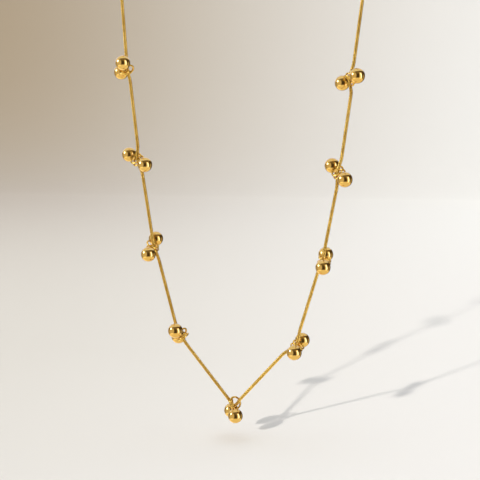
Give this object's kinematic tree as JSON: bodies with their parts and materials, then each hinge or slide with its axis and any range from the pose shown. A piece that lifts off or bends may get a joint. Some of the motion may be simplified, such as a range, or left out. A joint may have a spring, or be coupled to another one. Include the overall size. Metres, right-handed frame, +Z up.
{
  "type": "beaded snake chain necklace",
  "caption": "Thin snake chain necklace as a closed loop, with pairs of polished balls on soldered wire rings spaced along its front and a barrel clasp at the nape.",
  "frame": {"origin": "on the underside of the barrel clasp at the nape, where the loop hangs", "axes": "+Z up; the front of the necklace faces -Y; +X to the viewer's right from the front"},
  "size_m": [0.0744, 0.0743, 0.1536],
  "materials": {
    "chain_gold": "fine curved links, gold plated, satin bright",
    "polished_gold": "mirror polished gold plate on balls and wire rings",
    "clasp_gold": "polished gold plate"
  },
  "bodies": {
    "root": {"snake_chain": "chain_gold", "clasp": "clasp_gold", "bead_charm_l1_front": "polished_gold", "bead_charm_l1_back": "polished_gold", "bead_charm_l2_front": "polished_gold", "bead_charm_l2_back": "polished_gold", "bead_charm_l3_front": "polished_gold", "bead_charm_l3_back": "polished_gold", "bead_charm_l4_front": "polished_gold", "bead_charm_l4_back": "polished_gold", "bead_charm_c_front": "polished_gold", "bead_charm_c_back": "polished_gold", "bead_charm_r4_front": "polished_gold", "bead_charm_r4_back": "polished_gold", "bead_charm_r3_front": "polished_gold", "bead_charm_r3_back": "polished_gold", "bead_charm_r2_front": "polished_gold", "bead_charm_r2_back": "polished_gold", "bead_charm_r1_front": "polished_gold", "bead_charm_r1_back": "polished_gold"}
  },
  "joints": []
}
